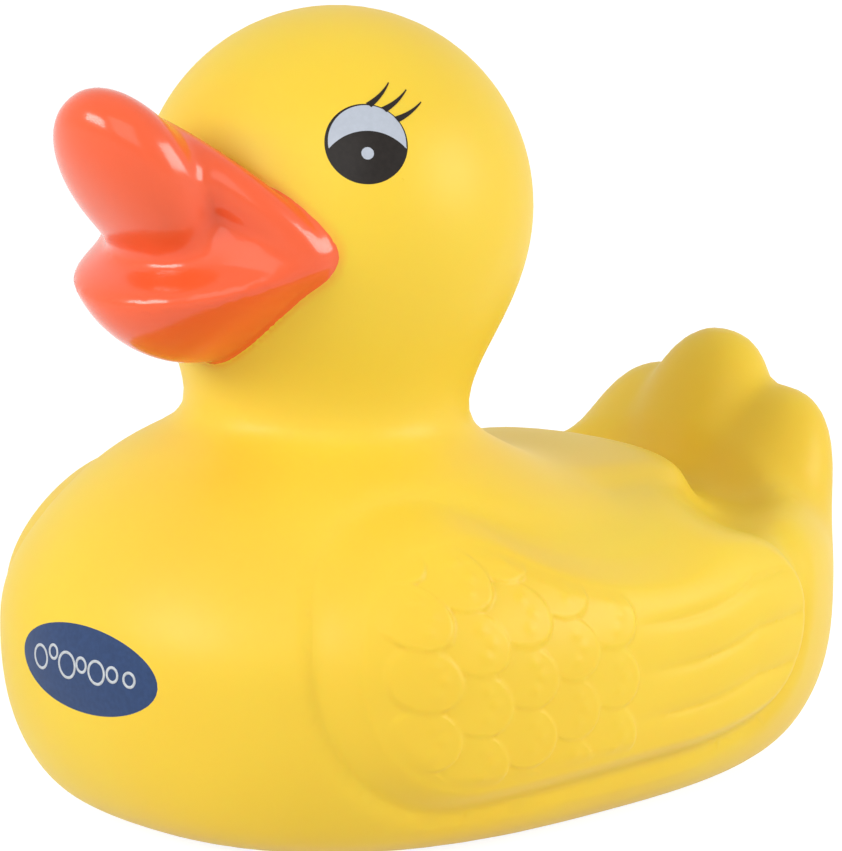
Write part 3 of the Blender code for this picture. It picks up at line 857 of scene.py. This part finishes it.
def two_tones(tree, tone, first, second):
    """A colour that drifts between two with the surface's broad tone."""
    return mix_colours(tree, ramp(tree, tone, *TONE_RANGE), first, second)


def paint_thinness(tree):
    return add_node(tree, "ShaderNodeAttribute", attribute_name="overspray").outputs["Fac"]


def vinyl_material(colours):
    constants = {
        "Roughness": 0.44,
        "Subsurface Weight": 0.30,
        "Subsurface Radius": (1.0, 0.55, 0.12),
        "Subsurface Scale": 0.0025,
        "Specular IOR Level": 0.30,
        "IOR": 1.5,
    }
    material, tone = new_material("yellow_vinyl", 24.0, 1400.0, 0.00002, constants)
    tree = material.node_tree
    yellow = two_tones(tree, tone, colours.vinyl, colours.vinyl_deep)
    share = calculate(tree, "MULTIPLY", paint_thinness(tree), 0.35)
    return with_base(material, mix_colours(tree, share, yellow, colours.bill_thin))


def bill_material(colours):
    constants = {
        "Roughness": 0.22,
        "Subsurface Weight": 0.12,
        "Subsurface Radius": (1.0, 0.35, 0.10),
        "Subsurface Scale": 0.0015,
        "Coat Weight": 0.30,
        "Coat Roughness": 0.10,
        "Specular IOR Level": 0.35,
    }
    material, tone = new_material("orange_paint", 60.0, 500.0, 0.00004, constants)
    tree = material.node_tree
    speckle = calculate(tree, "MULTIPLY", paint_thinness(tree), tone)
    share = ramp(tree, speckle, 0.0, 0.75)
    return with_base(material, mix_colours(tree, share, colours.bill, colours.bill_thin))


def print_material(name, base, roughness, variation):
    """Ink with the faint unevenness of a pad print."""
    constants = {"Roughness": roughness, "Specular IOR Level": 0.18}
    material, tone = new_material(name, 1500.0, 2500.0, 0.00001, constants)
    darker = tuple(channel * (1.0 - variation) for channel in base)
    return with_base(material, two_tones(material.node_tree, tone, base, darker))


def hollow_material(colours):
    material, tone = new_material("hollow_vinyl", 40.0, 600.0, 0.00003, {"Roughness": 0.6})
    yellow = two_tones(material.node_tree, tone, colours.vinyl, colours.vinyl_deep)
    return with_base(material, yellow)


def duck_materials(colours):
    """The materials of the moulding's slots, in the order of the slot numbers."""
    return [
        vinyl_material(colours),
        bill_material(colours),
        print_material("eye_white_ink", colours.eye_white, 0.32, 0.06),
        print_material("black_ink", colours.ink, 0.28, 0.25),
        print_material("badge_ink", colours.badge, 0.38, 0.18),
        hollow_material(colours),
    ]


def flat_parts(tree):
    """X, Y and Z of a point of a flat print."""
    flat = add_node(tree, "GeometryNodeInputPosition").outputs[0]
    return add_node(tree, "ShaderNodeSeparateXYZ", {"Vector": flat}).outputs


def move(tree, geometry, position):
    inputs = {"Geometry": geometry, "Position": position}
    return add_node(tree, "GeometryNodeSetPosition", inputs).outputs["Geometry"]


def combine(tree, x, y, z):
    return add_node(tree, "ShaderNodeCombineXYZ", {"X": x, "Y": y, "Z": z}).outputs[0]


def repeated(tree, count, form):
    """Copies of a form as real geometry, and the output of each copy's number."""
    points = add_node(tree, "GeometryNodePoints", {"Count": count}).outputs[0]
    index = add_node(tree, "GeometryNodeInputIndex").outputs["Index"]
    inputs = {"Geometry": points, "Name": "number", "Value": index}
    kinds = {"data_type": "FLOAT", "domain": "POINT"}
    stored = add_node(tree, "GeometryNodeStoreNamedAttribute", inputs, **kinds)
    inputs = {"Points": stored.outputs["Geometry"], "Instance": form}
    copies = add_node(tree, "GeometryNodeInstanceOnPoints", inputs).outputs["Instances"]
    real = add_node(tree, "GeometryNodeRealizeInstances", {"Geometry": copies})
    number = add_node(
        tree, "GeometryNodeInputNamedAttribute", {"Name": "number"}, data_type="FLOAT"
    )
    return real.outputs["Geometry"], number.outputs["Attribute"]


def lay_group():
    """Lays a flat print on the skin: X is sideways, Y is up, and +Z the face that shows."""
    if "lay print on skin" in bpy.data.node_groups:
        return bpy.data.node_groups["lay print on skin"]
    inputs = {"Print": "Geometry"} | PLACING
    outputs = {"Print": "Geometry"}
    group, start, end = new_group("lay print on skin", "GeometryNodeTree", inputs, outputs)
    given, parts = start.outputs, flat_parts(group)
    place = added(group, given["Origin"], scaled(group, given["Sideways"], parts["X"]))
    place = added(group, place, scaled(group, given["Up"], parts["Y"]))
    inward = scaled(group, given["Outward"], -1.0)
    ray = {"Target Geometry": given["Skin"], "Source Position": place, "Ray Direction": inward}
    hit = add_node(group, "GeometryNodeRaycast", ray).outputs
    side = calculate(group, "SIGN", parts["Z"])
    proud = calculate(group, "MULTIPLY", side, given["Thickness"])
    laid = added(group, hit["Hit Position"], scaled(group, hit["Hit Normal"], proud))
    group.links.new(move(group, given["Print"], laid), end.inputs["Print"])
    return group


def lay_print(tree, given, flat_print):
    """The flat print, laid on the skin with the tree's own placing inputs."""
    laid = add_node(tree, "GeometryNodeGroup", {"Print": flat_print}, node_tree=lay_group())
    for name in PLACING:
        tree.links.new(given[name], laid.inputs[name])
    return laid.outputs["Print"]


def finish_tree(tree, geometry, material, end):
    real = add_node(tree, "GeometryNodeRealizeInstances", {"Geometry": geometry}).outputs[0]
    inputs = {"Geometry": real, "Material": material}
    finished = add_node(tree, "GeometryNodeSetMaterial", inputs)
    tree.links.new(finished.outputs["Geometry"], end)


def lashes_tree():
    """Curved tapering lashes that fan out from the upper rear rim of each eye."""
    inputs = PLACING | {
        "Count": 3,
        "Eye Radius": 0.005,
        "Length": 0.004,
        "Width": 0.001,
        "Tip Width": 0.2,
        "Sag": 0.06,
        "First Angle": 1.4,
        "Angle Step": 0.4,
        "First Direction": 0.8,
        "Direction Step": 0.1,
        "Material": "Material",
    }
    tree, start, end = new_group("lashes", "GeometryNodeTree", inputs, {"Lashes": "Geometry"})
    given = start.outputs
    inputs = {"Size": (1.0, 1.0, 1.0), "Vertices X": 17, "Vertices Y": 5, "Vertices Z": 2}
    strip = add_node(tree, "GeometryNodeMeshCube", inputs)
    strips, number = repeated(tree, given["Count"], strip.outputs["Mesh"])
    parts = flat_parts(tree)
    along = calculate(tree, "ADD", parts["X"], 0.5)

    def product(*factors):
        result = factors[0]
        for factor in factors[1:]:
            result = calculate(tree, "MULTIPLY", result, factor)
        return result

    def stepped(first, step):
        return calculate(tree, "SUBTRACT", given[first], product(number, given[step]))

    def offset(base_x, base_y, angle, distance):
        east = product(calculate(tree, "COSINE", angle), distance)
        north = product(calculate(tree, "SINE", angle), distance)
        return calculate(tree, "ADD", base_x, east), calculate(tree, "ADD", base_y, north)

    direction = stepped("First Direction", "Direction Step")
    across = calculate(tree, "ADD", direction, np.pi / 2.0)
    left = calculate(tree, "SUBTRACT", 1.0, along)
    bow = product(along, left, -4.0, given["Sag"], given["Length"])
    full = calculate(tree, "SUBTRACT", 1.0, given["Tip Width"])
    taper = calculate(tree, "POWER", left, 1.2)
    taper = calculate(tree, "MULTIPLY_ADD", taper, full, given["Tip Width"])
    half = product(parts["Y"], given["Width"], taper)
    x, y = offset(0.0, 0.0, stepped("First Angle", "Angle Step"), given["Eye Radius"])
    x, y = offset(x, y, direction, product(along, given["Length"]))
    x, y = offset(x, y, across, calculate(tree, "ADD", bow, half))
    laid = lay_print(tree, given, move(tree, strips, combine(tree, x, y, parts["Z"])))
    inputs = {"Geometry": laid, "Scale": (-1.0, 1.0, 1.0)}
    mirrored = add_node(tree, "GeometryNodeTransform", inputs).outputs["Geometry"]
    turned = add_node(tree, "GeometryNodeFlipFaces", {"Mesh": mirrored})
    both = add_node(tree, "GeometryNodeJoinGeometry")
    tree.links.new(laid, both.inputs[0])
    tree.links.new(turned.outputs[0], both.inputs[0])
    finish_tree(tree, both.outputs[0], given["Material"], end.inputs["Lashes"])
    return tree


def bubbles_tree():
    """A row of rings of uneven size across the badge."""
    inputs = PLACING | {
        "Count": 7,
        "Spread": 0.017,
        "Rise": 0.0016,
        "Smallest Radius": 0.0008,
        "Largest Radius": 0.0019,
        "Line Width": 0.00035,
        "Seed": 4,
        "Material": "Material",
    }
    outputs = {"Bubbles": "Geometry"}
    tree, start, end = new_group("badge bubbles", "GeometryNodeTree", inputs, outputs)
    given = start.outputs
    inputs = {"Resolution": 36, "Radius": 1.0}
    circle = add_node(tree, "GeometryNodeCurvePrimitiveCircle", inputs)
    rings, number = repeated(tree, given["Count"], circle.outputs["Curve"])
    parts = flat_parts(tree)
    last = calculate(tree, "SUBTRACT", given["Count"], 1.0)
    share = calculate(tree, "SUBTRACT", calculate(tree, "DIVIDE", number, last), 0.5)
    middle_x = calculate(tree, "MULTIPLY", share, given["Spread"])

    def random(low, high, seed_step):
        seed = calculate(tree, "ADD", given["Seed"], seed_step)
        inputs = {2: low, 3: high, "ID": number, "Seed": seed}
        return add_node(tree, "FunctionNodeRandomValue", inputs, data_type="FLOAT").outputs[1]

    radius = random(given["Smallest Radius"], given["Largest Radius"], 0.0)
    lowest = calculate(tree, "MULTIPLY", given["Rise"], -1.0)
    middle_y = random(lowest, given["Rise"], 1.0)
    x = calculate(tree, "MULTIPLY_ADD", parts["X"], radius, middle_x)
    y = calculate(tree, "MULTIPLY_ADD", parts["Y"], radius, middle_y)
    rings = move(tree, rings, combine(tree, x, y, 0.0))
    inputs = {"Width": given["Line Width"], "Height": BAND_DEPTH}
    section = add_node(tree, "GeometryNodeCurvePrimitiveQuadrilateral", inputs)
    inputs = {"Curve": rings, "Profile Curve": section.outputs["Curve"]}
    bands = add_node(tree, "GeometryNodeCurveToMesh", inputs)
    laid = lay_print(tree, given, bands.outputs["Mesh"])
    finish_tree(tree, laid, given["Material"], end.inputs["Bubbles"])
    return tree


def pointing(bearing, height):
    """The direction at that bearing from straight ahead, and that height above level."""
    level = np.cos(height)
    return Vector((np.sin(bearing) * level, -np.cos(bearing) * level, np.sin(height)))


def grown(name, tree, skin, settings):
    """A plain mesh object of what the tree makes from the skin with those settings."""
    carrier = add_object("carrier", skin.data)
    modifier = carrier.modifiers.new("nodes", "NODES")
    modifier.node_group = tree
    for item in tree.interface.items_tree:
        if item.name in settings:
            modifier[item.identifier] = settings[item.name]
    bpy.context.view_layer.update()
    graph = bpy.context.evaluated_depsgraph_get()
    mesh = bpy.data.meshes.new_from_object(carrier.evaluated_get(graph))
    bpy.data.objects.remove(carrier)
    if not mesh.polygons:
        raise RuntimeError(name + " came out empty")
    mesh.name = name
    obj = add_object(name, mesh)
    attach(obj, "root")
    return obj


def check_skin(obj):
    """Raises an error unless the skin is closed and inside the CAD model's box."""
    bm = bmesh.new()
    bm.from_mesh(obj.data)
    closed = all(len(edge.link_faces) == 2 for edge in bm.edges)
    bm.free()
    if not closed:
        raise RuntimeError("the duck's skin isn't closed")
    low, high = np.array(CAD_BOX[0]), np.array(CAD_BOX[1])
    points = places(obj.data.vertices)
    over = np.maximum(low - points.min(axis=0), points.max(axis=0) - high)
    if (over > BOX_ALLOWANCE).any():
        raise RuntimeError("the duck's skin is larger than the CAD model")


class DUCK_OT_make_moulding(bpy.types.Operator):
    """Makes the hollow vinyl duck with its painted bill, printed eyes and badge"""

    bl_idname = "duck.make_moulding"
    bl_label = "Make the moulding"

    def execute(self, context):
        scene = context.scene
        form = DuckForm(scene)
        bm = outer_skin(form, scene.duck_mesh)
        hollow = inner_skin(form, scene.duck_mesh)
        inner_mesh = bpy.data.meshes.new("hollow")
        hollow.to_mesh(inner_mesh)
        hollow.free()
        bm.from_mesh(inner_mesh)
        bpy.data.meshes.remove(inner_mesh)
        skin = object_of("duck_skin", bm)
        for material in duck_materials(scene.duck_colours):
            skin.data.materials.append(material)
        cut_vent(skin, scene.duck_body)
        add_overspray(skin, form)
        skin.data.shade_smooth()
        check_skin(skin)
        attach(skin, "root")
        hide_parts("duck")
        return {"FINISHED"}


class DUCK_OT_print_lashes(bpy.types.Operator):
    """Prints the lashes over both eyes"""

    bl_idname = "duck.print_lashes"
    bl_label = "Print the lashes"

    def execute(self, context):
        scene = context.scene
        ink, head = scene.duck_print, scene.duck_head
        bearing, height = ink.eye_bearing, ink.eye_height
        middle = Vector((0.0, head.head_y, head.head_z))
        outward = pointing(bearing, height)
        sideways = Vector((np.cos(bearing), np.sin(bearing), 0.0))
        settings = {
            "Count": ink.lash_count,
            "Eye Radius": ink.eye_radius - ink.outline_width / 2.0,
            "Length": ink.lash_length,
            "Width": ink.lash_width,
            "Tip Width": 0.2,
            "Sag": 0.06,
            "First Angle": np.radians(82.0),
            "Angle Step": np.radians(22.5),
            "First Direction": np.radians(47.5),
            "Direction Step": np.radians(5.5),
            "Origin": middle + outward * 2.0 * head.head_radius,
            "Sideways": sideways,
            "Up": outward.cross(sideways),
            "Outward": outward,
            "Thickness": ink.ink_thickness,
            "Material": print_material("lash_ink", scene.duck_colours.ink, 0.3, 0.25),
        }
        grown("eye_lashes", lashes_tree(), bpy.data.objects["duck_skin"], settings)
        return {"FINISHED"}


class DUCK_OT_print_bubbles(bpy.types.Operator):
    """Prints the row of bubbles on the chest badge"""

    bl_idname = "duck.print_bubbles"
    bl_label = "Print the badge's bubbles"

    def execute(self, context):
        scene = context.scene
        ink, body = scene.duck_print, scene.duck_body
        front = body.chest_y - 2.0 * body.chest_half_length
        settings = {
            "Count": ink.bubble_count,
            "Spread": 0.0165,
            "Rise": 0.0012,
            "Smallest Radius": 0.0007,
            "Largest Radius": 0.0017,
            "Line Width": 0.00035,
            "Seed": 4,
            "Origin": Vector((0.0, front, ink.badge_z)),
            "Sideways": Vector((1.0, 0.0, 0.0)),
            "Up": Vector((0.0, 0.0, 1.0)),
            "Outward": Vector((0.0, -1.0, 0.0)),
            "Thickness": ink.ink_thickness,
            "Material": print_material("bubble_ink", scene.duck_colours.motif, 0.4, 0.2),
        }
        grown("badge_bubbles", bubbles_tree(), bpy.data.objects["duck_skin"], settings)
        return {"FINISHED"}


def add_lamp(name, place, target, size, power):
    """A soft white area lamp that faces the target."""
    lamp = bpy.data.lights.new(name, "AREA")
    lamp.shape = "RECTANGLE"
    lamp.size, lamp.size_y = size
    lamp.energy = power
    obj = add_object(name, lamp)
    obj.location = place
    obj.rotation_euler = (target - Vector(place)).to_track_quat("-Z", "Y").to_euler()


def seen_rays(tree):
    """1 for rays from the camera, from gloss and through clear stuff, and 0 for the rest."""
    path = add_node(tree, "ShaderNodeLightPath").outputs
    total = calculate(tree, "ADD", path["Is Camera Ray"], path["Is Glossy Ray"])
    total = calculate(tree, "ADD", total, path["Is Transmission Ray"])
    return calculate(tree, "MINIMUM", total, 1.0)


def floor_material():
    """A white floor that keeps a soft shadow."""
    material = bpy.data.materials.new("studio_floor")
    material.use_nodes = True
    tree = material.node_tree
    tree.nodes.clear()
    end = tree.nodes.new("ShaderNodeOutputMaterial")
    lit = add_node(tree, "ShaderNodeBsdfDiffuse", {"Color": (0.80, 0.80, 0.80, 1.0)})
    shaded = add_node(tree, "ShaderNodeBsdfDiffuse", {"Color": (0.30, 0.30, 0.30, 1.0)})
    glow = add_node(tree, "ShaderNodeEmission", {"Color": (1.0, 1.0, 1.0, 1.0), "Strength": 0.90})
    seen = add_node(tree, "ShaderNodeAddShader", {0: shaded.outputs[0], 1: glow.outputs[0]})
    inputs = {0: seen_rays(tree), 1: lit.outputs[0], 2: seen.outputs[0]}
    mix = add_node(tree, "ShaderNodeMixShader", inputs)
    tree.links.new(mix.outputs[0], end.inputs["Surface"])
    return material


def make_world():
    """An even white room, seen as white, that lights the duck a little."""
    world = bpy.data.worlds.new("studio")
    bpy.context.scene.world = world
    world.use_nodes = True
    tree = world.node_tree
    background = tree.nodes["Background"]
    background.inputs["Color"].default_value = (1.0, 1.0, 1.0, 1.0)
    inputs = {"Value": seen_rays(tree), "To Min": 0.46, "To Max": 1.0}
    strength = add_node(tree, "ShaderNodeMapRange", inputs)
    tree.links.new(strength.outputs["Result"], background.inputs["Strength"])


def add_floor(stage):
    bm = bmesh.new()
    bmesh.ops.create_grid(bm, x_segments=1, y_segments=1, size=stage.floor_size / 2.0)
    floor = object_of("floor", bm)
    floor.data.materials.append(floor_material())


def add_camera(stage):
    away = pointing(stage.camera_bearing, stage.camera_height)
    camera = bpy.data.cameras.new("camera")
    camera.sensor_width = stage.sensor_width
    camera.lens = stage.sensor_width * stage.camera_distance / stage.view_width
    obj = add_object("camera", camera)
    obj.location = Vector((0.0, 0.0, stage.target_z)) + away * stage.camera_distance
    obj.rotation_euler = away.to_track_quat("Z", "Y").to_euler()
    bpy.context.scene.camera = obj


class DUCK_OT_set_stage(bpy.types.Operator):
    """Puts up the floor, the soft lamps and the camera"""

    bl_idname = "duck.set_stage"
    bl_label = "Set the stage"

    def execute(self, context):
        stage = context.scene.duck_stage
        target = Vector((0.0, 0.0, stage.target_z))
        add_floor(stage)
        add_camera(stage)
        make_world()
        add_lamp("left_box", (-0.19, -0.85, 0.46), target, (0.50, 0.30), 4.7)
        add_lamp("right_box", (0.74, 0.47, 0.36), target, (0.50, 0.40), 4.4)
        add_lamp("front_fill", (0.55, -0.62, 0.62), target, (0.70, 0.70), 2.2)
        context.scene.view_settings.view_transform = "Standard"
        return {"FINISHED"}


SIZE_GROUPS = {
    "duck_body": DuckBodySizes,
    "duck_head": DuckHeadSizes,
    "duck_tail": DuckTailSizes,
    "duck_bill": DuckBillSizes,
    "duck_wing": DuckWingSizes,
    "duck_print": DuckPrintSizes,
    "duck_mesh": DuckMeshSizes,
    "duck_colours": DuckColours,
    "duck_stage": DuckStageSizes,
}
OPERATORS = (
    DUCK_OT_make_moulding,
    DUCK_OT_print_lashes,
    DUCK_OT_print_bubbles,
    DUCK_OT_set_stage,
)


class DUCK_PT_panel(bpy.types.Panel):
    """Lists the duck's operators, sizes and colours"""

    bl_idname = "DUCK_PT_panel"
    bl_label = "Bath duck"
    bl_space_type = "VIEW_3D"
    bl_region_type = "UI"
    bl_category = "Bath duck"

    def draw(self, context):
        for operator in OPERATORS:
            self.layout.operator(operator.bl_idname)
        for name, sizes in SIZE_GROUPS.items():
            box = self.layout.box()
            box.label(text=name.replace("_", " ").capitalize())
            for size_name in sizes.__annotations__:
                box.prop(getattr(context.scene, name), size_name)


def register():
    for sizes in SIZE_GROUPS.values():
        name_sizes(sizes)
        bpy.utils.register_class(sizes)
    for name, sizes in SIZE_GROUPS.items():
        setattr(bpy.types.Scene, name, PointerProperty(type=sizes))
    for operator in OPERATORS:
        bpy.utils.register_class(operator)
    bpy.utils.register_class(DUCK_PT_panel)


def unregister():
    bpy.utils.unregister_class(DUCK_PT_panel)
    for operator in reversed(OPERATORS):
        bpy.utils.unregister_class(operator)
    for name, sizes in SIZE_GROUPS.items():
        delattr(bpy.types.Scene, name)
        bpy.utils.unregister_class(sizes)


def main():
    register()
    bpy.ops.duck.make_moulding()
    bpy.ops.duck.print_lashes()
    bpy.ops.duck.print_bubbles()
    bpy.ops.duck.set_stage()


if __name__ == "__main__":
    main()
